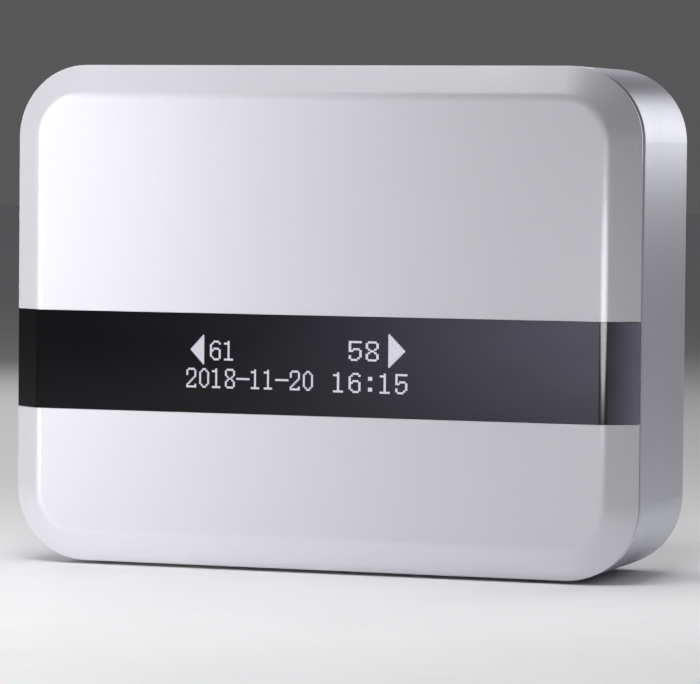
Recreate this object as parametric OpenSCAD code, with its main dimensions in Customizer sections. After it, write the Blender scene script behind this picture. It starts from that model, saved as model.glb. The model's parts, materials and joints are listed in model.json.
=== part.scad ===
// Wall-mounted infrared people counter: a bevelled front cover with a smoked
// window band, a brushed metal frame, and a wall plate that the unit hangs on.
// Millimetres. The front faces -Y, +Z is up, and the wall is the plane y = 0.
// The origin is on the wall, in the middle of the body's outline.

/* [Body] */
// Width of the body
body_w = 75; // [62:1:92]
// Height of the body
body_h = 57.5; // [54:0.5:72]
// Depth from the wall to the front face
body_d = 24; // [23.5:0.5:30]
// Radius of the outline's corners
corner_r = 8.4; // [7.5:0.1:10.1]
// Gap between the frame's rear edge and the wall
wall_gap = 1.1; // [0.9:0.1:1.3]

/* [Front cover] */
// Width of the bevel around the front face
bevel_w = 3.5; // [2.8:0.1:4.2]
// Depth of the bevel
bevel_d = 2.55; // [2:0.05:3]
// Radius that blends the face into the bevel
face_blend_r = 1.6; // [1.2:0.1:2]
// Wall behind the flat face
cover_t = 1.8; // [1.6:0.1:2.4]
// Straight land at the cover's outer edge
cover_land = 0.2; // [0.1:0.05:0.4]
// Depth of the skirt that locates the cover in the frame
skirt_depth = 3; // [2:0.5:4]
// Thickness of the skirt
skirt_t = 1.4; // [1:0.1:1.5]

/* [Window band] */
// Height of the smoked band
band_h = 11.45; // [9.5:0.05:13.8]
// Height of the band's middle above the body's middle
band_z = -5.3; // [-6.5:0.1:-4.5]
// Thickness of the band
band_t = 1; // [0.8:0.1:1.2]

/* [Frame] */
// Wall of the metal frame
frame_t = 1.6; // [1.3:0.1:1.9]
// Width of the dark seam between cover and frame
seam_t = 0.9; // [0.7:0.1:1.1]
// How far the seam lies below the outer surface
seam_inset = 0.35; // [0.25:0.05:0.5]
// Rounding of the frame's rear edge
frame_rear_r = 1; // [0.6:0.1:1.2]

/* [Battery] */
// Diameter of the cell
cell_d = 14.5; // [12:0.1:14.8]
// Length of the cell
cell_l = 50.5; // [44:0.5:51]

/* [Display] */
// Width of the display glass
display_w = 33; // [28:0.5:36]
// Height of the display glass
display_h = 10.8; // [9:0.1:11.5]
// Place of the display's middle along the band
display_x = -1.85; // [-3:0.05:0]

/* [Beam receivers] */
// Distance from the body's side to a receiver
receiver_inset = 10; // [9:0.5:11]
// Outer radius of a receiver's light tube
tube_r = 3.2; // [2.8:0.1:3.6]

/* [Mode button] */
// Radius of the button's cap
button_r = 2.4; // [2:0.1:2.9]
// Travel of the button
button_travel = 0.5; // [0.3:0.1:0.6]
// Place of the button along the underside
button_x = 14; // [12:0.5:15]

/* [Wall mount] */
// Distance between the two wall screws
wall_screw_pitch = 30; // [24:1:34]
// Radius of a wall screw's hole
wall_screw_r = 1.9; // [1.6:0.1:2.2]
// Thickness of the wall plate
plate_t = 1.6; // [1.4:0.1:1.6]
// Radius of the hinge rods
rod_r = 0.9; // [0.7:0.1:0.9]

/* [Battery door] */
// Travel that frees the battery door
door_travel = 3; // [2:0.2:3]

/* [Hidden] */
$fn = 64;
SIDES = [-1, 1];
EPS = 0.01;

// Clearances
fit_gap = 0.15;        // between plastic parts that slot together
hairline = 0.05;       // between faces that only look joined
rod_clear = 0.05;      // radial, hinge rod in its saddle
button_clear = 0.1;    // radial, button cap in the frame
door_gap = 0.3;        // around the battery door

// Planes along Y, from the front to the wall
y_front = -body_d;
y_cover_in = y_front + cover_t;
y_bevel = y_front + bevel_d;
y_cover = y_bevel + cover_land;
y_frame_front = y_cover + seam_t;
y_frame_rear = -wall_gap;
y_skirt = y_frame_front + skirt_depth;
board_t = 1.2;
tube_l = 3.6;
y_board = y_cover_in + tube_l;
y_board_rear = y_board + board_t;

// Frame opening and flange
frame_in_w = body_w - 2 * frame_t;
frame_in_h = body_h - 2 * frame_t;
frame_in_r = corner_r - frame_t;
flange_w = 1.4;
flange_t = 1.3;

// Cover hollow and screw bosses
pocket_rim = 0.4;      // from the bevel's inner edge to the hollow
pocket_w = body_w - 2 * (bevel_w + pocket_rim);
pocket_h = body_h - 2 * (bevel_w + pocket_rim);
pocket_r = corner_r - bevel_w - pocket_rim;
boss_r = 2.2;
boss_clear = 0.25;     // from a boss to the frame's flange, along the corner's diagonal
boss_inset = frame_in_r - (frame_in_r - flange_w - boss_r - boss_clear) / sqrt(2);
boss_x = frame_in_w / 2 - boss_inset;
boss_z = frame_in_h / 2 - boss_inset;
screw_r = 0.95;
head_r = 1.8;
head_t = 0.85;
screw_l = 7;

// Rear cover
rear_t = 1.65;
plate_gap = 0.35;
y_rear = -plate_t - plate_gap;
y_rear_in = y_rear - rear_t;
rear_w = frame_in_w - 2 * fit_gap;
rear_h = frame_in_h - 2 * fit_gap;
rear_r = frame_in_r - fit_gap;

// Battery bay, between the band's parts and the top
cell_r = cell_d / 2;
bay_wall = 1.15;
bay_clear = 0.2;
bay_lift = 2.4;        // from the band to the bay
tongue_room = 1.15;    // behind the bay, for the door's inner plate
contact_t = 0.4;
contact_w = sqrt(2) * (cell_r + bay_clear) - 0.5;
spring_l = 2.8;
bay_h = 2 * (cell_r + bay_clear + bay_wall);
bay_z = band_z + band_h / 2 + bay_lift + bay_h / 2;
bay_inner_l = cell_l + spring_l + 2 * contact_t;
bay_w = bay_inner_l + 2 * bay_wall;
y_bay_rear = y_rear_in - tongue_room;
y_cell = y_bay_rear - fit_gap - cell_r;
cell_x = spring_l / 2;

// Button and its switch
switch_w = 6;
switch_h = 4;
switch_t = 3.5;
button_y = y_board_rear + switch_t / 2;
z_frame_in = -frame_in_h / 2;
flange_rim = 0.7;
flange_r = button_r + flange_rim;
cap_flange_t = 0.8;
cap_proud = 0.4;
over_travel = 0.35;    // left above the flange when the button is pressed
plunger_r = 1.2;
plunger_in = 1;        // how far the plunger reaches into the switch
z_plunger = z_frame_in + 2 * hairline + cap_flange_t;

// Main board
board_gap = 0.3;       // below the bay
board_rise = 2 * hairline + cap_flange_t + button_travel + over_travel;
board_side = 1.35;     // from the skirt to the board's edge
board_top = bay_z - bay_h / 2 - board_gap;
board_bottom = -frame_in_h / 2 + board_rise;
board_w = frame_in_w - 2 * (fit_gap + skirt_t + board_side);
notch_gap = 0.4;       // between the board's notches and the bosses
post_r = 1.7;
post_x = 21.5;
post_z = [board_bottom + 4.4, board_top - 2.2];
receiver_x = body_w / 2 - receiver_inset;

// Display
display_t = 1.4;
display_z = band_z + 0.2;
y_display = y_cover_in + display_t;
aperture_rim = [1.75, 1.3];
aperture_w = display_w - 2 * aperture_rim.x;
aperture_h = display_h - 2 * aperture_rim.y;

// Wall plate and hinge
rod_stand = 0.7;       // from the plate's front to the rods' axis
hinge_drop = 2.15;     // from the frame's inner face to the rods' axis
hinge_y = -plate_t - rod_stand;
hinge_z = frame_in_h / 2 - hinge_drop;
hinge_x = 20;
plate_inset = 0.8;     // from the frame's inner face to the plate's edge
plate_w = frame_in_w - 2 * plate_inset;
plate_top = hinge_z + 0.3;
plate_bottom = -frame_in_h / 2 + plate_inset + 0.05;
plate_h = plate_top - plate_bottom;
plate_z = (plate_top + plate_bottom) / 2;
saddle_w = 4.6;
ear_t = 1.4;
ear_gap = 0.2;
pad_w = 14;
pad_h = 38;
pad_t = 0.8;
pad_x = 22;
recess_w = 8;
recess_h = 11;
recess_x = 8.6;
recess_rib = 2;
tab_x = 14;
tab_w = 2.6;
tab_z = plate_bottom + 3;

// Battery door
door_w = bay_w - 1;
door_h = bay_h - 1;
door_top = bay_z + door_h / 2;
door_t = 1.1;
y_door = y_rear - 0.4;
tongue_t = 0.8;
tongue_l = 1.8;
shelf_l = door_travel + 2 * door_gap + 0.6;
y_tongue = y_rear_in - hairline;

// ---- shared shapes ----

// Rounded rectangle in 2D
module rounded_rect(w, h, r) {
    square([w - 2 * r, h], center = true);
    square([w, h - 2 * r], center = true);
    for (sx = SIDES, sz = SIDES)
        translate([sx * (w / 2 - r), sz * (h / 2 - r)]) circle(r);
}

// Lays a 2D shape in the XZ plane and extrudes it from y0 to y1
module plate_y(y0, y1) {
    translate([0, y1, 0]) rotate([90, 0, 0]) linear_extrude(y1 - y0) children();
}

// Rounded slab between two planes
module slab(w, h, r, y0, y1) {
    plate_y(y0, y1) rounded_rect(w, h, r);
}

// Box given by its middle in X and Z and its two planes in Y
module block(w, h, x, z, y0, y1) {
    translate([x - w / 2, y0, z - h / 2]) cube([w, y1 - y0, h]);
}

// Cylinder along Y between two planes
module rod_y(r, x, z, y0, y1) {
    translate([x, y1, z]) rotate([90, 0, 0]) cylinder(r = r, h = y1 - y0);
}

// Cylinder along X, centred on x
module rod_x(r, l, x, y, z) {
    translate([x - l / 2, y, z]) rotate([0, 90, 0]) cylinder(r = r, h = l);
}

// Sector of a disc between two directions, measured from the X axis
module sector(centre, r, a0, a1) {
    translate(centre) intersection() {
        circle(r);
        polygon([[0, 0], 2 * r * [cos(a0), sin(a0)], 2 * r * [cos(a1), sin(a1)]]);
    }
}

// Section of a bevelled edge: half of it, out to reach, standing on the back plane
module bevel_section(reach, w, d, land, blend) {
    slope = atan2(d, w);
    run = blend * tan(slope / 2);
    centre = [reach - w - run, land + d - blend];
    polygon([
        [0, 0], [reach, 0], [reach, land],
        centre + blend * [sin(slope), cos(slope)], centre, centre + [0, blend],
        [0, land + d]
    ]);
    sector(centre, blend, 90 - slope, 90);
}

// Bevelled cushion shape: the outer form of the front cover
module cushion(w, h, r, y_back, bevel_depth) {
    for (sx = SIDES, sz = SIDES)
        translate([sx * (w / 2 - r), y_back, sz * (h / 2 - r)]) rotate([90, 0, 0])
            rotate_extrude() bevel_section(r, bevel_w, bevel_depth, cover_land, face_blend_r);
    cushion_bar(w, h - 2 * r, y_back, bevel_depth);
    rotate([0, 90, 0]) cushion_bar(h, w - 2 * r, y_back, bevel_depth);
}

// Bevelled bar across X, of the given length along Z
module cushion_bar(w, l, y_back, bevel_depth) {
    translate([0, y_back, -l / 2]) linear_extrude(l)
        for (sx = [0, 1]) mirror([sx, 0]) mirror([0, 1])
            bevel_section(w / 2, bevel_w, bevel_depth, cover_land, face_blend_r);
}

// What lies below the window band's inner surface
module band_core(extra) {
    side = 0.6;
    difference() {
        cushion_bar(
            body_w - 2 * side + 2 * extra, band_h + 4,
            y_cover + band_t - extra, bevel_d
        );
        translate([0, y_cover + 5, 0]) cube([body_w * 2, 10, body_h], center = true);
    }
}

// Space of the window band in the cover, grown by a gap at its long edges
module band_space(edge_gap, inner_gap) {
    translate([0, 0, band_z]) difference() {
        intersection() {
            cushion_bar(body_w, band_h + 4, y_cover, bevel_d);
            cube([body_w * 2, body_d * 3, band_h + 2 * edge_gap], center = true);
        }
        band_core(inner_gap);
    }
}

// Tube swept along a coil whose axis is Z, as one closed mesh
module coil(r_start, r_end, wire_r, turns, height) {
    steps = 16;
    sides = 6;
    n = round(turns * steps);
    function centre(i) = let (a = 360 * i / steps, r = r_start + (r_end - r_start) * i / n)
        [r * cos(a), r * sin(a), height * i / n];
    function ring(i) = let (a = 360 * i / steps)
        [for (s = [0:sides - 1]) let (b = 360 * s / sides)
            centre(i) + wire_r * [cos(b) * cos(a), cos(b) * sin(a), sin(b)]];
    points = [for (i = [0:n]) each ring(i)];
    sides_faces = [for (i = [0:n - 1], s = [0:sides - 1]) let (t = (s + 1) % sides)
        [i * sides + t, (i + 1) * sides + t, (i + 1) * sides + s, i * sides + s]];
    start_cap = [for (s = [0:sides - 1]) sides - 1 - s];
    end_cap = [for (s = [0:sides - 1]) n * sides + s];
    polyhedron(points, concat(sides_faces, [start_cap, end_cap]));
}

// The four places of the corner screws
module at_bosses() {
    for (sx = SIDES, sz = SIDES) translate([sx * boss_x, 0, sz * boss_z]) children();
}

// The four places of the board's screws
module at_posts() {
    for (sx = SIDES, z = post_z) translate([sx * post_x, 0, z]) children();
}

// The two places of the hinge
module at_hinges() {
    for (sx = SIDES) translate([sx * hinge_x, 0, 0]) children();
}

// ---- wall side ----

module wall_plate() {
    color("gainsboro") {
        difference() {
            translate([0, 0, plate_z])
                slab(plate_w, plate_h, frame_in_r - plate_inset, -plate_t, 0);
            for (sx = SIDES)
                block(pad_w, pad_h, sx * pad_x, 0, -pad_t, EPS);
            for (sz = SIDES) {
                rod_y(wall_screw_r, 0, sz * wall_screw_pitch / 2, -plate_t - EPS, EPS);
                translate([0, -pad_t, sz * wall_screw_pitch / 2]) rotate([90, 0, 0])
                    cylinder(r1 = wall_screw_r, r2 = wall_screw_r + 1.6, h = plate_t - pad_t + EPS);
            }
            at_hinges()
                block(saddle_w + 2 * ear_gap, 4, 0, hinge_z - 1.4 + 2, -plate_t - EPS, EPS);
            // shallow recesses between the pads
            for (sx = SIDES, row = [-1:1])
                block(
                    recess_w, recess_h, sx * recess_x, row * (recess_h + recess_rib),
                    -0.5, EPS
                );
        }
        at_hinges() {
            for (sx = SIDES) hinge_ear(sx * (saddle_w / 2 + ear_gap + ear_t / 2));
            rod_x(rod_r, saddle_w + 2 * ear_gap + 2 * ear_t, 0, hinge_y, hinge_z);
        }
        for (sx = SIDES)
            block(tab_w, 1.2, sx * tab_x, tab_z, y_rear_in + 0.2, -plate_t + EPS);
    }
}

// Ear that carries the end of a hinge rod
module hinge_ear(x) {
    reach = 1;
    block(ear_t, 2 * reach, x, hinge_z - reach + 0.3, hinge_y, -plate_t + EPS);
    rod_x(reach, ear_t, x, hinge_y, hinge_z);
}

module adhesive_pads() {
    color("dimgray") for (sx = SIDES)
        block(pad_w - 2 * hairline, pad_h - 2 * hairline, sx * pad_x, 0, -pad_t, 0);
}

// ---- front ----

module front_cover() {
    color("lavender") difference() {
        union() {
            difference() {
                cushion(body_w, body_h, corner_r, y_cover, bevel_d);
                slab(pocket_w, pocket_h, pocket_r, y_cover_in, y_cover + EPS);
            }
            difference() {
                slab(rear_w, rear_h, rear_r, y_cover - EPS, y_skirt);
                slab(
                    rear_w - 2 * skirt_t, rear_h - 2 * skirt_t, rear_r - skirt_t,
                    y_cover - 1, y_skirt + EPS
                );
            }
            at_bosses() rod_y(boss_r, 0, 0, y_cover_in - EPS, y_rear_in);
            at_posts() rod_y(post_r, 0, 0, y_cover_in - EPS, y_board);
        }
        band_space(0, 0);
        block(aperture_w, aperture_h, display_x, display_z, y_front, y_cover_in + EPS);
        for (sx = SIDES) rod_y(tube_r - 0.8, sx * receiver_x, band_z, y_front, y_cover_in + EPS);
        at_bosses() rod_y(screw_r, 0, 0, y_rear_in - screw_l, y_rear_in + EPS);
        at_posts() rod_y(screw_r, 0, 0, y_board - 2.6, y_board + EPS);
        // notch in the skirt around the mode button's flange
        block(
            2 * flange_r + 0.8, 2 * skirt_t + 1, button_x, z_frame_in + skirt_t / 2,
            button_y - flange_r - 0.4, y_skirt + EPS
        );
    }
}

module window_band() {
    color([0.12, 0.11, 0.14]) band_space(-hairline, hairline);
}

module seam_gasket() {
    color("dimgray") difference() {
        slab(
            body_w - 2 * seam_inset, body_h - 2 * seam_inset, corner_r - seam_inset,
            y_cover, y_frame_front
        );
        slab(frame_in_w, frame_in_h, frame_in_r, y_cover - EPS, y_frame_front + EPS);
    }
}

// ---- frame and rear ----

// Section of the frame's corner, from the corner's axis out, standing on the rear plane
module frame_section(reach) {
    depth = y_frame_rear - y_frame_front;
    lip = 0.15;
    centre = [reach - frame_rear_r, frame_rear_r];
    polygon([
        [0, 0], [centre.x, 0], centre, [reach, centre.y],
        [reach, depth - lip], [reach - lip, depth], [0, depth]
    ]);
    sector(centre, frame_rear_r, -90, 0);
}

module frame_bar(w, l) {
    translate([0, y_frame_rear, -l / 2]) linear_extrude(l)
        for (sx = [0, 1]) mirror([sx, 0]) mirror([0, 1]) frame_section(w / 2);
}

module mid_frame() {
    color("silver") difference() {
        union() {
            for (sx = SIDES, sz = SIDES)
                translate([sx * (body_w / 2 - corner_r), y_frame_rear, sz * (body_h / 2 - corner_r)])
                    rotate([90, 0, 0]) rotate_extrude() frame_section(corner_r);
            frame_bar(body_w, body_h - 2 * corner_r);
            rotate([0, 90, 0]) frame_bar(body_h, body_w - 2 * corner_r);
        }
        slab(frame_in_w, frame_in_h, frame_in_r, -body_d, y_rear_in - flange_t);
        slab(
            frame_in_w - 2 * flange_w, frame_in_h - 2 * flange_w, frame_in_r - flange_w,
            -body_d, 0
        );
        slab(frame_in_w, frame_in_h, frame_in_r, y_rear_in, 0);
        translate([button_x, button_y, -body_h / 2 - 1])
            cylinder(r = button_r + button_clear, h = frame_t + 2);
    }
}

module rear_cover() {
    rest_t = plate_gap - hairline;
    color("gainsboro") {
        difference() {
            slab(rear_w, rear_h, rear_r, y_rear_in, y_rear);
            // battery opening, long enough for the door to slide down
            block(
                door_w + 2 * door_gap, door_h + 2 * door_gap + door_travel,
                0, bay_z - door_travel / 2, y_rear_in - EPS, y_rear + EPS
            );
            at_hinges()
                block(
                    saddle_w + 2 * (ear_t + 2 * ear_gap) + 0.4, 3.7, 0, hinge_z - 0.35,
                    y_rear_in - EPS, y_rear + EPS
                );
            at_bosses() {
                rod_y(head_r + 0.2, 0, 0, y_rear - head_t - 0.1, y_rear + EPS);
                rod_y(screw_r, 0, 0, y_rear_in - EPS, y_rear);
            }
            for (sx = SIDES)
                block(
                    tab_w + 0.6, 1.2 + 0.6, sx * tab_x, tab_z, y_rear_in - EPS, y_rear + EPS
                );
        }
        at_hinges() hinge_saddle();
        for (sx = SIDES)
            rod_y(1.5, sx * 24, plate_bottom + 5, y_rear - EPS, y_rear + rest_t);
    }
}

// Hook that hangs on a hinge rod, open at the bottom
module hinge_saddle() {
    bore = rod_r + rod_clear;
    top = 1.6;
    difference() {
        block(
            saddle_w, top + 0.8, 0, hinge_z + (top - 0.8) / 2,
            y_rear_in, hinge_y + bore + 0.4
        );
        rod_x(bore, saddle_w + 1, 0, hinge_y, hinge_z);
        translate([-saddle_w, hinge_y - bore, hinge_z - 2]) cube([2 * saddle_w, 2 * bore, 2]);
    }
}

module case_screws() {
    color("gray") at_bosses() screw(y_rear - head_t - 0.1, screw_l - 0.6);
}

// Screw along Y: its head seats at y_seat and its shank runs forward
module screw(y_seat, l) {
    difference() {
        rod_y(head_r, 0, 0, y_seat, y_seat + head_t);
        block(2 * head_r + 1, 0.5, 0, 0, y_seat + head_t * 0.5, y_seat + head_t + EPS);
        block(0.5, 2 * head_r + 1, 0, 0, y_seat + head_t * 0.5, y_seat + head_t + EPS);
    }
    rod_y(screw_r, 0, 0, y_seat - l, y_seat + EPS);
}

module battery_door() {
    rib_pitch = 1.3;
    color("lightgray") {
        block(door_w, door_h, 0, bay_z, y_door - door_t, y_door);
        for (i = [-3:3])
            block(14, 0.5, 0, door_top - 10 + i * rib_pitch, y_door - EPS, y_door + 0.3);
        // inner plate: a tongue under the opening's upper edge, and a shelf that
        // closes the space the door slides into
        block(
            door_w - 8, door_h + tongue_l + shelf_l, 0, bay_z + (tongue_l - shelf_l) / 2,
            y_tongue - tongue_t, y_tongue
        );
        block(
            door_w - 8, door_h - 1, 0, bay_z, y_tongue - EPS, y_door - door_t + EPS
        );
    }
}

// ---- battery bay ----

module battery_holder() {
    color([0.16, 0.16, 0.17]) difference() {
        block(bay_w, bay_h, 0, bay_z, y_cover_in, y_bay_rear);
        rod_x(cell_r + bay_clear, bay_inner_l, 0, y_cell, bay_z);
        block(
            bay_inner_l, 2 * (cell_r + bay_clear), 0, bay_z, y_cell, y_bay_rear + EPS
        );
        // saves weight behind the trough
        for (sz = SIDES)
            block(
                bay_inner_l - 4, 2.6, 0, bay_z + sz * (bay_h / 2 - 2.2), y_cover_in - EPS,
                y_cell - cell_r * 0.87
            );
    }
}

module battery_cell() {
    nub_l = 1.2;
    color("steelblue") {
        rod_x(cell_r, cell_l - nub_l, cell_x - nub_l / 2, y_cell, bay_z);
        rod_x(2.9, nub_l + EPS, cell_x + (cell_l - nub_l - EPS) / 2, y_cell, bay_z);
    }
}

// Flat contact with a tail that reaches down to the board
module contact_plate(side) {
    plate_x = side * (bay_inner_l / 2 - contact_t / 2);
    block(contact_t, contact_w, plate_x, bay_z, y_cell - contact_w / 2, y_cell + contact_w / 2);
}

module positive_contact() {
    color("silver") contact_plate(1);
}

module negative_contact() {
    wire_r = 0.35;
    color("silver") {
        contact_plate(-1);
        translate([-bay_inner_l / 2 + contact_t + wire_r - 0.1, y_cell, bay_z]) rotate([0, 90, 0])
            coil(4.2, 2.2, wire_r, 3, spring_l - 2 * wire_r + 0.05);
    }
}

// ---- main board ----

module main_board() {
    notch_w = board_w / 2 - (boss_x - boss_r - notch_gap);
    notch_h = -boss_z + boss_r + notch_gap - board_bottom;
    color("darkgreen") difference() {
        block(
            board_w, board_top - board_bottom, 0, (board_top + board_bottom) / 2,
            y_board, y_board_rear
        );
        for (sx = SIDES)
            block(
                2 * notch_w, 2 * notch_h, sx * board_w / 2, board_bottom,
                y_board - EPS, y_board_rear + EPS
            );
        at_posts() rod_y(screw_r + 0.15, 0, 0, y_board - EPS, y_board_rear + EPS);
    }
}

module board_screws() {
    color("gray") at_posts() screw(y_board_rear, board_t + 2.2);
}

module mcu_chip() {
    body = 7;
    legs = 8;
    pitch = 0.8;
    leg_w = 0.35;
    translate([-6, 0, -13]) {
        color([0.1, 0.1, 0.11])
            block(body, body, 0, 0, y_board_rear + 0.15, y_board_rear + 1.45);
        color("silver") for (turn = [0:3], i = [0:legs - 1])
            rotate([0, 90 * turn, 0])
                block(
                    leg_w, 1.4, (i - (legs - 1) / 2) * pitch, body / 2 + 0.5,
                    y_board_rear, y_board_rear + 0.5
                );
    }
}

module radio_module() {
    w = 13;
    h = 15;
    translate([-22, 0, -11]) {
        color("navy") block(w, h, 0, 0, y_board_rear, y_board_rear + 0.8);
        color("silver") block(w - 2.5, h - 4, 0, -1, y_board_rear + 0.8, y_board_rear + 2.8);
    }
}

module radio_antenna() {
    color("goldenrod") translate([8.5, y_board_rear + 3.2, -9.5]) {
        coil(2.4, 2.4, 0.4, 5, 9);
        translate([2.4, -3.2, 0]) rotate([-90, 0, 0]) cylinder(r = 0.3, h = 3.2);
    }
}

module crystal() {
    color("silver") translate([3.5, 0, -14])
        slab(3.6, 8.5, 1.79, y_board_rear, y_board_rear + 3.2);
}

module storage_capacitor() {
    color([0.15, 0.17, 0.3]) rod_y(4, 27, -14, y_board_rear, y_board_rear + 8);
}

module board_passives() {
    color("tan") for (i = [0:6], j = [0:1])
        block(0.8, 1.6, -14 + 2 * i, -20.5 - 2.4 * j + 0.4, y_board_rear, y_board_rear + 0.6);
}

// ---- display ----

module display_glass() {
    color([0.08, 0.08, 0.1]) block(
        display_w, display_h, display_x, display_z, y_cover_in, y_display
    );
}

module display_bracket() {
    rim = 1.2;
    color([0.16, 0.16, 0.17]) difference() {
        block(display_w, display_h, display_x, display_z, y_display, y_board);
        block(
            display_w - 2 * rim, display_h - 2 * rim, display_x, display_z,
            y_display - EPS, y_board + EPS
        );
    }
}

module display_foam() {
    color("black") block(
        display_w - 3, display_h - 3, display_x, display_z, y_display, y_board
    );
}

module display_flex() {
    thick = 0.15;
    drop = 3.4;
    z_edge = display_z - display_h / 2;
    y_tail = y_cover_in + 0.6;
    color("orange") translate([display_x - 6, 0, 0]) rotate([90, 0, 90]) linear_extrude(12)
        polygon([
            [y_tail, z_edge], [y_tail + thick, z_edge],
            [y_tail + thick, z_edge - 1], [y_board, z_edge - drop],
            [y_board, z_edge - drop - 2], [y_board - thick, z_edge - drop - 2],
            [y_board - thick, z_edge - drop], [y_tail, z_edge - 1]
        ]);
}

// ---- beam receivers ----

module receiver(side) {
    size = 4;
    chip_t = 1.2;
    color([0.2, 0.1, 0.12]) translate([side * receiver_x, 0, band_z]) {
        block(size, size, 0, 0, y_board - chip_t, y_board);
        translate([0, y_board - chip_t, 0]) sphere(r = 1);
    }
}

module receiver_left() receiver(-1);

module receiver_right() receiver(1);

module light_tube(side) {
    color([0.16, 0.16, 0.17]) translate([side * receiver_x, 0, band_z]) difference() {
        rod_y(tube_r, 0, 0, y_cover_in, y_board);
        rod_y(tube_r - 0.5, 0, 0, y_cover_in - EPS, y_board + EPS);
        block(4.2, 4.2, 0, 0, y_board - 1.5, y_board + EPS);
    }
}

module light_tube_left() light_tube(-1);

module light_tube_right() light_tube(1);

module beam_lens(side) {
    lens_r = tube_r - 0.5;
    edge = 0.6;
    dome_r = 8;
    color("slategray") translate([side * receiver_x, 0, band_z]) intersection() {
        rod_y(lens_r, 0, 0, y_cover_in, y_cover_in + 2);
        translate([0, y_cover_in + edge + dome_r * (1 - cos(asin(lens_r / dome_r))) - dome_r, 0])
            sphere(r = dome_r, $fn = 180);
    }
}

module beam_lens_left() beam_lens(-1);

module beam_lens_right() beam_lens(1);

// ---- mode button ----

module mode_switch() {
    color([0.12, 0.12, 0.13]) difference() {
        block(
            switch_w, switch_h, button_x, board_bottom + switch_h / 2,
            y_board_rear, y_board_rear + switch_t
        );
        translate([button_x, button_y, board_bottom - EPS])
            cylinder(r = plunger_r + 0.1, h = plunger_in + button_travel + 0.3 + EPS);
    }
}

module switch_plunger() {
    color("whitesmoke") translate([button_x, button_y, z_plunger])
        cylinder(r = plunger_r, h = board_bottom + plunger_in - z_plunger);
}

module mode_button() {
    color("silver") translate([button_x, button_y, 0]) {
        translate([0, 0, -body_h / 2 - cap_proud])
            cylinder(r = button_r, h = cap_proud + frame_t + 2 * hairline + EPS);
        translate([0, 0, z_frame_in + 2 * hairline]) cylinder(r = flange_r, h = cap_flange_t);
    }
}

wall_plate();
adhesive_pads();
front_cover();
window_band();
seam_gasket();
mid_frame();
rear_cover();
case_screws();
battery_door();
battery_holder();
battery_cell();
positive_contact();
negative_contact();
main_board();
board_screws();
display_glass();
display_bracket();
display_foam();
display_flex();
receiver_left();
receiver_right();
light_tube_left();
light_tube_right();
beam_lens_left();
beam_lens_right();
mcu_chip();
radio_module();
radio_antenna();
crystal();
storage_capacitor();
board_passives();
mode_switch();
switch_plunger();
mode_button();
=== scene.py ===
"""Wall-mounted people counter: materials, display characters, studio and camera.

Everything is in metres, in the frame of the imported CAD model: the wall is the
plane y = 0, the front faces -Y and +Z is up. MM turns millimetres into metres.
"""
import json
import math

import bmesh
import bpy
from mathutils import Matrix, Vector


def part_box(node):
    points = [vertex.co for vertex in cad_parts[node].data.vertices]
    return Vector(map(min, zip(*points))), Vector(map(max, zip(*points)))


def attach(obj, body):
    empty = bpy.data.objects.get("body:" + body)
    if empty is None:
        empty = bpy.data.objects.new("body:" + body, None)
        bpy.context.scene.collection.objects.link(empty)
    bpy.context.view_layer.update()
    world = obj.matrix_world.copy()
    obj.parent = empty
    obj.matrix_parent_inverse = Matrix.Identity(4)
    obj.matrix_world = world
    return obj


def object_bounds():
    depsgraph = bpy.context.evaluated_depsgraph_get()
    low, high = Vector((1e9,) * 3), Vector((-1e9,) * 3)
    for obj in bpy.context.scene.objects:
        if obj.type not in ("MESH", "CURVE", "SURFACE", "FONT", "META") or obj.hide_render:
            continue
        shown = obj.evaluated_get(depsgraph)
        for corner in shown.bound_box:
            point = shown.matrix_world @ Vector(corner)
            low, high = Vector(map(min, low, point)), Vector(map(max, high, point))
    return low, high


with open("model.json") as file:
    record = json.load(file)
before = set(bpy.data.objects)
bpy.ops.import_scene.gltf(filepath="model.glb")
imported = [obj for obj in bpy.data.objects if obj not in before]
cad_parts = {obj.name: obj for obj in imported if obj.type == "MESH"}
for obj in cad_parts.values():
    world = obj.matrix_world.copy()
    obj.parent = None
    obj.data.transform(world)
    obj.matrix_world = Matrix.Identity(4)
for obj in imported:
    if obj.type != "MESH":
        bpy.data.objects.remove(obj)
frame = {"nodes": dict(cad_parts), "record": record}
cad_low, cad_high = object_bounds()
MM = 0.001

cover_low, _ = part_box("front_cover")
FRONT = cover_low.y
BAND_PIECES = ["window_band", "readout"]


# ---- node helpers -------------------------------------------------------

# Most of a noise texture's values lie between these
NOISE_LOW, NOISE_HIGH = 0.3, 0.7
# How many mottled patches a moulded or painted surface has in a metre
PATCHES_PER_M = 110.0


def new_material(name):
    """A material with an empty tree, its Principled shader and a helper that adds nodes."""
    mat = bpy.data.materials.new(name)
    mat.use_nodes = True
    tree = mat.node_tree
    tree.nodes.clear()
    out = tree.nodes.new("ShaderNodeOutputMaterial")
    shader = tree.nodes.new("ShaderNodeBsdfPrincipled")
    tree.links.new(shader.outputs["BSDF"], out.inputs["Surface"])
    return mat, tree, shader


def link(tree, source, target):
    tree.links.new(source, target)


def coordinates(tree, scale):
    """Object coordinates stretched by a scale along each axis (features per metre)."""
    coord = tree.nodes.new("ShaderNodeTexCoord")
    mapping = tree.nodes.new("ShaderNodeMapping")
    mapping.inputs["Scale"].default_value = scale
    link(tree, coord.outputs["Object"], mapping.inputs["Vector"])
    return mapping.outputs["Vector"]


def noise(tree, vector, detail=3.0, roughness=0.5):
    node = tree.nodes.new("ShaderNodeTexNoise")
    node.inputs["Scale"].default_value = 1.0
    node.inputs["Detail"].default_value = detail
    node.inputs["Roughness"].default_value = roughness
    link(tree, vector, node.inputs["Vector"])
    return node.outputs["Fac"]


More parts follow.
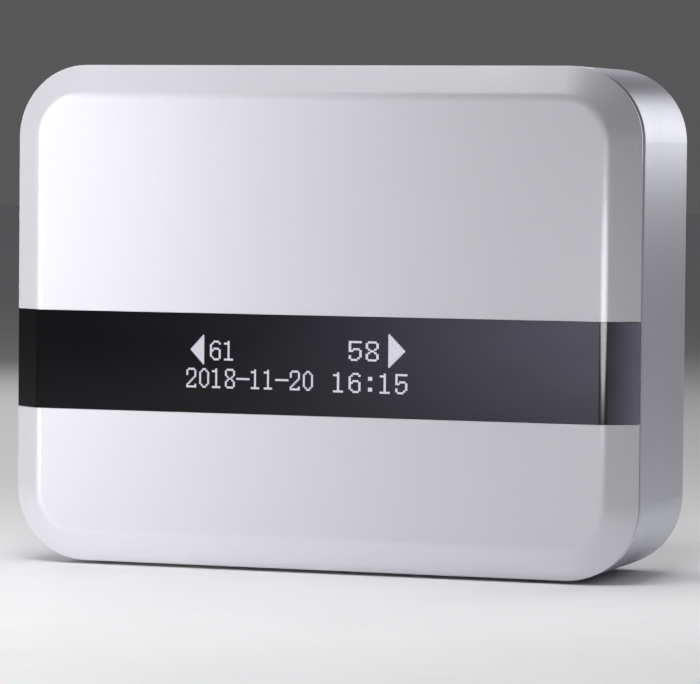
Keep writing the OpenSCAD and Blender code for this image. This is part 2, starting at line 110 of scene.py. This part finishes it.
def spread(tree, value, low, high):
    """Maps a noise value from its usual range onto low to high."""
    node = tree.nodes.new("ShaderNodeMapRange")
    node.inputs["From Min"].default_value = NOISE_LOW
    node.inputs["From Max"].default_value = NOISE_HIGH
    node.inputs["To Min"].default_value = low
    node.inputs["To Max"].default_value = high
    link(tree, value, node.inputs["Value"])
    return node.outputs["Result"]


def two_tones(tree, value, dark, light):
    """Colour between two tones, by a noise value."""
    ramp = tree.nodes.new("ShaderNodeValToRGB")
    ramp.color_ramp.elements[0].position = NOISE_LOW
    ramp.color_ramp.elements[0].color = (*dark, 1)
    ramp.color_ramp.elements[1].position = NOISE_HIGH
    ramp.color_ramp.elements[1].color = (*light, 1)
    link(tree, value, ramp.inputs["Fac"])
    return ramp.outputs["Color"]


def bump(tree, height, distance, strength=1.0, normal=None):
    node = tree.nodes.new("ShaderNodeBump")
    node.inputs["Strength"].default_value = strength
    node.inputs["Distance"].default_value = distance
    link(tree, height, node.inputs["Height"])
    if normal is not None:
        link(tree, normal, node.inputs["Normal"])
    return node.outputs["Normal"]


def shades(colour, change):
    """A darker and a lighter version of a colour."""
    return [tuple(max(0.0, c * (1 + s * change)) for c in colour) for s in (-1, 1)]


def surface(name, colour, rough, grain_mm, grain_depth_mm=0.0, change=0.05, metallic=0.0,
            rough_change=0.04, **constants):
    """Moulded, painted or cast surface: mottled colour, uneven gloss and a fine grain."""
    mat, tree, shader = new_material(name)
    fine = 1 / (grain_mm * MM)
    grain = noise(tree, coordinates(tree, (fine,) * 3))
    patches = noise(tree, coordinates(tree, (PATCHES_PER_M,) * 3), detail=2.0)
    link(tree, two_tones(tree, patches, *shades(colour, change)), shader.inputs["Base Color"])
    link(tree, spread(tree, grain, rough - rough_change, rough + rough_change),
         shader.inputs["Roughness"])
    if grain_depth_mm:
        link(tree, bump(tree, grain, grain_depth_mm * MM), shader.inputs["Normal"])
    shader.inputs["Metallic"].default_value = metallic
    for socket, value in constants.items():
        shader.inputs[socket.replace("_", " ")].default_value = value
    return mat


# ---- materials ----------------------------------------------------------

def silver_paint():
    """Satin silver paint: fine metal flakes under a thin clear coat."""
    flakes_per_m, drifts_per_m, ripples_per_m = 9000.0, 35.0, 900.0
    mat, tree, shader = new_material("silver_paint")
    flakes = noise(tree, coordinates(tree, (flakes_per_m,) * 3), detail=1.0)
    drift = noise(tree, coordinates(tree, (drifts_per_m,) * 3), detail=2.0)
    peel = noise(tree, coordinates(tree, (ripples_per_m,) * 3), detail=1.0)
    link(tree, two_tones(tree, flakes, (0.690, 0.682, 0.728), (0.742, 0.734, 0.780)),
         shader.inputs["Base Color"])
    link(tree, spread(tree, drift, 0.33, 0.37), shader.inputs["Roughness"])
    link(tree, bump(tree, peel, 0.0008 * MM), shader.inputs["Normal"])
    shader.inputs["Metallic"].default_value = 0.22
    shader.inputs["Coat Weight"].default_value = 0.5
    shader.inputs["Coat Roughness"].default_value = 0.08
    return mat


def smoked_acrylic():
    """Gloss window strip: nearly black, with faint wipe marks in its gloss."""
    wipes_per_m, wipes_per_m_high, tints_per_m = 60.0, 240.0, 25.0
    mat, tree, shader = new_material("smoked_acrylic")
    wipe_scale = (wipes_per_m, wipes_per_m, wipes_per_m_high)
    wipes = noise(tree, coordinates(tree, wipe_scale), detail=4.0)
    tint = noise(tree, coordinates(tree, (tints_per_m,) * 3), detail=1.0)
    link(tree, two_tones(tree, tint, (0.0016, 0.0014, 0.0022), (0.0024, 0.0020, 0.0030)),
         shader.inputs["Base Color"])
    link(tree, spread(tree, wipes, 0.13, 0.18), shader.inputs["Roughness"])
    shader.inputs["IOR"].default_value = 1.49
    return mat


def brushed_aluminium(name, colour, rough, streak_mm):
    """Brushed metal: the lines run around the outline, so they vary along Y."""
    across = 1 / (streak_mm * MM)
    along, along_long, widening = 18.0, 5.0, 0.3
    tone_change, rough_change, depth_mm = 0.10, 0.06, 0.002
    mat, tree, shader = new_material(name)
    lines = noise(tree, coordinates(tree, (along, across, along)), detail=4.0, roughness=0.7)
    long_scale = (along_long, across * widening, along_long)
    long_lines = noise(tree, coordinates(tree, long_scale), detail=2.0)
    link(tree, two_tones(tree, lines, *shades(colour, tone_change)), shader.inputs["Base Color"])
    link(tree, spread(tree, long_lines, rough - rough_change, rough + rough_change),
         shader.inputs["Roughness"])
    link(tree, bump(tree, lines, depth_mm * MM), shader.inputs["Normal"])
    tangent = tree.nodes.new("ShaderNodeTangent")
    tangent.direction_type = "RADIAL"
    tangent.axis = "Y"
    link(tree, tangent.outputs["Tangent"], shader.inputs["Tangent"])
    shader.inputs["Metallic"].default_value = 1.0
    shader.inputs["Anisotropic"].default_value = 0.3
    shader.inputs["Anisotropic Rotation"].default_value = 0.25
    return mat


def lit_dots():
    """The display's light, a cool white that is a little uneven from dot to dot."""
    changes_per_m = 4500.0
    mat, tree, shader = new_material("lit_dots")
    flicker = noise(tree, coordinates(tree, (changes_per_m,) * 3), detail=0.0)
    glow = two_tones(tree, flicker, (0.56, 0.55, 0.63), (0.66, 0.65, 0.73))
    link(tree, glow, shader.inputs["Emission Color"])
    shader.inputs["Base Color"].default_value = (0.05, 0.05, 0.05, 1)
    shader.inputs["Emission Strength"].default_value = 0.95
    shader.inputs["Roughness"].default_value = 0.2
    return mat


MATERIALS = {
    "silver_cover": silver_paint(),
    "smoked_window": smoked_acrylic(),
    "gasket_rubber": surface("gasket_rubber", (0.150, 0.145, 0.170), 0.66, 0.25, 0.004),
    "brushed_frame": brushed_aluminium("brushed_frame", (0.64, 0.645, 0.70), 0.42, 0.10),
    "rear_plastic": surface("rear_plastic", (0.20, 0.20, 0.215), 0.48, 0.22, 0.006),
    "plate_plastic": surface("plate_plastic", (0.52, 0.52, 0.55), 0.50, 0.22, 0.006),
    "pad_foam": surface("pad_foam", (0.035, 0.035, 0.038), 0.85, 0.35, 0.05, change=0.25),
    "screw_steel": surface("screw_steel", (0.55, 0.55, 0.57), 0.28, 0.3, 0.002, metallic=1.0),
    "black_plastic": surface("black_plastic", (0.018, 0.018, 0.020), 0.45, 0.2, 0.004),
    "cell_wrap": surface("cell_wrap", (0.06, 0.18, 0.36), 0.22, 2.0, 0.002, Coat_Weight=0.5),
    "contact_nickel": surface("contact_nickel", (0.72, 0.70, 0.64), 0.18, 0.4, metallic=1.0),
    "board_green": surface("board_green", (0.012, 0.115, 0.045), 0.30, 0.5, 0.003, Coat_Weight=0.4),
    "display_glass": surface("display_glass", (0.008, 0.008, 0.011), 0.06, 1.0, rough_change=0.02),
    "flex_amber": surface("flex_amber", (0.50, 0.20, 0.03), 0.25, 0.5),
    "receiver_resin": surface("receiver_resin", (0.03, 0.006, 0.012), 0.10, 0.6),
    "beam_lens": surface("beam_lens", (0.20, 0.22, 0.27), 0.06, 1.0, rough_change=0.02),
    "chip_black": surface("chip_black", (0.014, 0.014, 0.016), 0.55, 0.08, 0.004),
    "shield_metal": surface("shield_metal", (0.66, 0.66, 0.65), 0.32, 0.6, 0.003, metallic=1.0),
    "antenna_brass": surface("antenna_brass", (0.72, 0.50, 0.18), 0.24, 0.4, metallic=1.0),
    "capacitor_sleeve": surface("capacitor_sleeve", (0.014, 0.020, 0.085), 0.28, 0.8, 0.002),
    "passive_tan": surface("passive_tan", (0.36, 0.26, 0.16), 0.50, 0.15),
    "plunger_white": surface("plunger_white", (0.70, 0.70, 0.68), 0.40, 0.2, 0.003),
    "button_metal": brushed_aluminium("button_metal", (0.60, 0.60, 0.63), 0.30, 0.12),
    "display_light": lit_dots(),
}

for part in frame["record"]["subparts"]:
    node = frame["nodes"][part["node"]]
    node.data.materials.clear()
    node.data.materials.append(MATERIALS[part["material_slot"]])


# ---- softened edges -----------------------------------------------------

# Edge radius of each piece in millimetres, and the angle from which an edge is rounded
EDGE_ANGLE_DEG = 40
EDGE_ROUND = {
    "mid_frame": 0.12, "rear_cover": 0.15, "wall_plate": 0.15,
    "battery_door": 0.12, "mode_button": 0.15, "battery_holder": 0.1,
}
for name, radius in EDGE_ROUND.items():
    rounding = frame["nodes"][name].modifiers.new("edge_round", "BEVEL")
    rounding.width = radius * MM
    rounding.segments = 2
    rounding.limit_method = "ANGLE"
    rounding.angle_limit = math.radians(EDGE_ANGLE_DEG)
    rounding.harden_normals = False


# ---- display characters -------------------------------------------------

# Dot-matrix shapes, 8 columns by 11 rows
GLYPHS = {
    "0": "...##... ..#..#.. .#....#. .#....#. .#....#. .#....#. .#....#. .#....#. .#....#. "
         "..#..#.. ...##...",
    "1": "...#.... .###.... ...#.... ...#.... ...#.... ...#.... ...#.... ...#.... ...#.... "
         "...#.... .#####..",
    "2": "..####.. .#....#. .#....#. .#....#. ......#. .....#.. ....#... ...#.... ..#..... "
         ".#....#. .######.",
    "5": ".######. .#...... .#...... .#...... .#.###.. .##...#. ......#. ......#. .#....#. "
         ".#...#.. ..###...",
    "6": "...###.. ..#...#. .#...... .#...... .#.###.. .##...#. .#....#. .#....#. .#....#. "
         "..#...#. ...###..",
    "8": "..####.. .#....#. .#....#. .#....#. ..#..#.. ...##... ..#..#.. .#....#. .#....#. "
         ".#....#. ..####..",
    "-": "........ ........ ........ ........ ........ ######## ........ ........ ........ "
         "........ ........",
    ":": "........ ........ ...##... ...##... ........ ........ ........ ........ ...##... "
         "...##... ........",
}
GLYPH_ROWS = 11
GLYPH_COLUMNS = 8

# Each line of text: its left edge and its top edge on the face, its dot pitch across and
# its height, in millimetres from the middle of the face
TEXT = [
    ("61", -12.80, -2.72, 0.215, 2.22),
    ("58", 3.95, -2.38, 0.253, 2.22),
    ("2018-11-20", -15.65, -5.90, 0.197, 2.22),
    ("16:15", 2.13, -5.98, 0.232, 2.24),
]
# Arrowheads: x of the tip, x of the base, z of the middle, and height, in millimetres
ARROWS = [
    (-14.93, -13.32, -3.76, 3.0),
    (10.87, 8.92, -3.40, 3.35),
]
# A dot's width over its pitch: above 1 the dots of a stroke join up
DOT_FILL = 1.15
# How far a dot reaches into the window and stands out of it, in millimetres
DOT_SINK = 0.015
DOT_PROUD = 0.012


def add_box(bm, low, high):
    corners = bmesh.ops.create_cube(bm, size=1.0)["verts"]
    size = Vector(high) - Vector(low)
    middle = (Vector(high) + Vector(low)) / 2
    bmesh.ops.scale(bm, vec=size, verts=corners)
    bmesh.ops.translate(bm, vec=middle, verts=corners)


def add_dot(bm, x, z, width, height):
    """One lit dot, given by the middle of its square on the face, in millimetres."""
    half_w, half_h = width * DOT_FILL / 2, height * DOT_FILL / 2
    add_box(
        bm,
        ((x - half_w) * MM, FRONT - DOT_PROUD * MM, (z - half_h) * MM),
        ((x + half_w) * MM, FRONT + DOT_SINK * MM, (z + half_h) * MM),
    )


def add_text(bm, text, left, top, pitch, height):
    row_pitch = height / GLYPH_ROWS
    for i, letter in enumerate(text):
        for row, line in enumerate(GLYPHS[letter].split()):
            for column, mark in enumerate(line):
                if mark == "#":
                    x = left + (i * GLYPH_COLUMNS + column + 0.5) * pitch
                    z = top - (row + 0.5) * row_pitch
                    add_dot(bm, x, z, pitch, row_pitch)


def add_arrow(bm, tip, base, middle, height):
    """Arrowhead made of upright bars, taller towards its base."""
    bars = 9
    step = (base - tip) / bars
    for i in range(bars):
        add_dot(bm, tip + (i + 0.5) * step, middle, abs(step), height * (i + 0.75) / bars)


def make_readout():
    bm = bmesh.new()
    for line in TEXT:
        add_text(bm, *line)
    for arrow in ARROWS:
        add_arrow(bm, *arrow)
    mesh = bpy.data.meshes.new("readout")
    bm.to_mesh(mesh)
    bm.free()
    readout = bpy.data.objects.new("readout", mesh)
    bpy.context.scene.collection.objects.link(readout)
    mesh.materials.append(MATERIALS["display_light"])
    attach(readout, "counter_unit")
    return readout


make_readout()


# ---- studio -------------------------------------------------------------

def make_floor():
    """Plain pale floor that the unit stands on."""
    half = 3.0
    mesh = bpy.data.meshes.new("floor")
    z = cad_low.z
    corners = [(-half, -half, z), (half, -half, z), (half, half, z), (-half, half, z)]
    mesh.from_pydata(corners, [], [(0, 1, 2, 3)])
    floor = bpy.data.objects.new("floor", mesh)
    bpy.context.scene.collection.objects.link(floor)
    mesh.materials.append(surface("floor_paint", (0.88, 0.88, 0.89), 0.7, 8.0, change=0.01))


def area_light(name, place, target, size, power, colour=(1, 1, 1), spread_deg=180, ramp=None,
               only=None, shape="RECTANGLE", diffuse=True, glossy=True):
    """Soft light. Place, target and size are in millimetres.

    ramp fades it across its width: dark at the first value, full at the second, as
    shares of the width. only names the pieces that it lights.
    """
    data = bpy.data.lights.new(name, "AREA")
    data.shape = shape
    data.size, data.size_y = size[0] * MM, size[1] * MM
    data.energy = power
    data.color = colour
    data.spread = math.radians(spread_deg)
    if ramp is not None:
        data.use_nodes = True
        tree = data.node_tree
        geo = tree.nodes.new("ShaderNodeNewGeometry")
        split = tree.nodes.new("ShaderNodeSeparateXYZ")
        tree.links.new(geo.outputs["Parametric"], split.inputs["Vector"])
        level = tree.nodes.new("ShaderNodeMapRange")
        level.interpolation_type = "SMOOTHSTEP"
        tree.links.new(split.outputs[0], level.inputs["Value"])
        level.inputs["From Min"].default_value = ramp[0]
        level.inputs["From Max"].default_value = ramp[1]
        tree.links.new(level.outputs["Result"], tree.nodes["Emission"].inputs["Strength"])
    lamp = bpy.data.objects.new(name, data)
    lamp.location = Vector(place) * MM
    aim = (Vector(target) - Vector(place)).normalized()
    lamp.rotation_mode = "QUATERNION"
    lamp.rotation_quaternion = aim.to_track_quat("-Z", "Y")
    lamp.visible_camera = False
    lamp.visible_diffuse = diffuse
    lamp.visible_glossy = glossy
    if only is not None:
        receivers = bpy.data.collections.new(name + "_receivers")
        for piece in only:
            receivers.objects.link(bpy.data.objects[piece])
        lamp.light_linking.receiver_collection = receivers
    bpy.context.scene.collection.objects.link(lamp)
    return lamp


def make_world(strength):
    """Even, faint surroundings."""
    world = bpy.data.worlds.new("studio")
    bpy.context.scene.world = world
    world.use_nodes = True
    background = world.node_tree.nodes["Background"]
    background.inputs["Color"].default_value = (0.97, 0.965, 1.0, 1)
    background.inputs["Strength"].default_value = strength


def make_camera():
    """Long-lens view from the front right, with the slight roll of a hand-held frame."""
    azimuth, elevation, roll = (math.radians(a) for a in (19.146, 2.559, 0.518))
    distance, focal = 472.482 * MM, 215.2
    target = Vector((4.326 * MM, FRONT, -2.489 * MM))
    back = Vector((
        math.sin(azimuth) * math.cos(elevation),
        -math.cos(azimuth) * math.cos(elevation),
        math.sin(elevation),
    ))
    right = (-back).cross(Vector((0, 0, 1))).normalized()
    up = right.cross(-back)
    turned_right = right * math.cos(roll) + up * math.sin(roll)
    turned_up = up * math.cos(roll) - right * math.sin(roll)
    data = bpy.data.cameras.new("camera")
    data.sensor_width = 36.0
    data.lens = focal
    data.clip_start, data.clip_end = 0.01, 20.0
    camera = bpy.data.objects.new("camera", data)
    camera.matrix_world = Matrix((
        (turned_right.x, turned_up.x, back.x, 0),
        (turned_right.y, turned_up.y, back.y, 0),
        (turned_right.z, turned_up.z, back.z, 0),
        (0, 0, 0, 1),
    ))
    camera.location = target + back * distance
    bpy.context.scene.collection.objects.link(camera)
    bpy.context.scene.camera = camera


make_floor()
make_world(0.10)
VIOLET = (0.80, 0.76, 1.0)
OTHERS = [
    obj.name for obj in bpy.data.objects
    if obj.type == "MESH" and obj.name not in BAND_PIECES
]
# On the front: a strip from the left, diffuse beams from the front, and one from above
area_light("left_strip", (-150, -150, 0), (-60, -24, 0), (30, 400), 0.113, spread_deg=90,
           only=OTHERS)
area_light("front_beam_wide", (60, -330, 0), (-75, -24, 0), (40, 200), 0.051, spread_deg=40,
           glossy=False)
area_light("front_beam_narrow", (60, -330, 0), (-40, -24, 0), (40, 200), 0.0195, spread_deg=18,
           glossy=False)
area_light("front_beam_right", (-120, -400, 20), (45, -24, 0), (60, 200), 0.0085, spread_deg=20,
           glossy=False)
area_light("top_soft", (-5, -10, 140), (5, -22, 28), (80, 60), 0.0125, spread_deg=70)
# In the window band: a panel that fades out to the left, and a strip for the right bevel
area_light("band_panel", (-90, -300, -14), (0, -24, -5), (160, 220), 0.488, VIOLET,
           ramp=(0.27, 1.05), only=BAND_PIECES)
area_light("bevel_strip", (85.9, -55.6, -9), (35.75, -22.7, -6), (14, 60), 0.0135, VIOLET,
           ramp=(0.36, 0.80), only=BAND_PIECES)
# The bright streak along the right edge of the face, on the paint and on the band
area_light("edge_streak", (55.4, -79.9, 2), (34.3, -23.7, 3), (53, 22), 0.0125,
           shape="ELLIPSE", diffuse=False, only=OTHERS)
area_light("edge_streak_band", (55.4, -79.9, 1), (34.3, -23.7, 2), (53, 26), 0.040,
           shape="ELLIPSE", diffuse=False, only=BAND_PIECES)
# On the frame's side, from behind on the right
area_light("side_near", (72, 48, 38), (37, -12, 24), (46, 40), 0.0088)
area_light("side_soft", (110, 120, 60), (37, -12, 15), (100, 100), 0.0150)
area_light("side_low", (110, 120, -20), (37, -12, -10), (100, 100), 0.0045)
# On the back, and on the floor alone
area_light("rear_left", (-260, 260, 170), (0, -5, 0), (200, 160), 0.3)
area_light("rear_middle", (20, 230, 360), (0, -5, 0), (200, 160), 0.22)
area_light("floor_pool", (0, -210, 290), (10, -110, -29), (220, 160), 0.30,
           spread_deg=110, only=["floor"])
make_camera()
bpy.context.scene.view_settings.view_transform = "Standard"
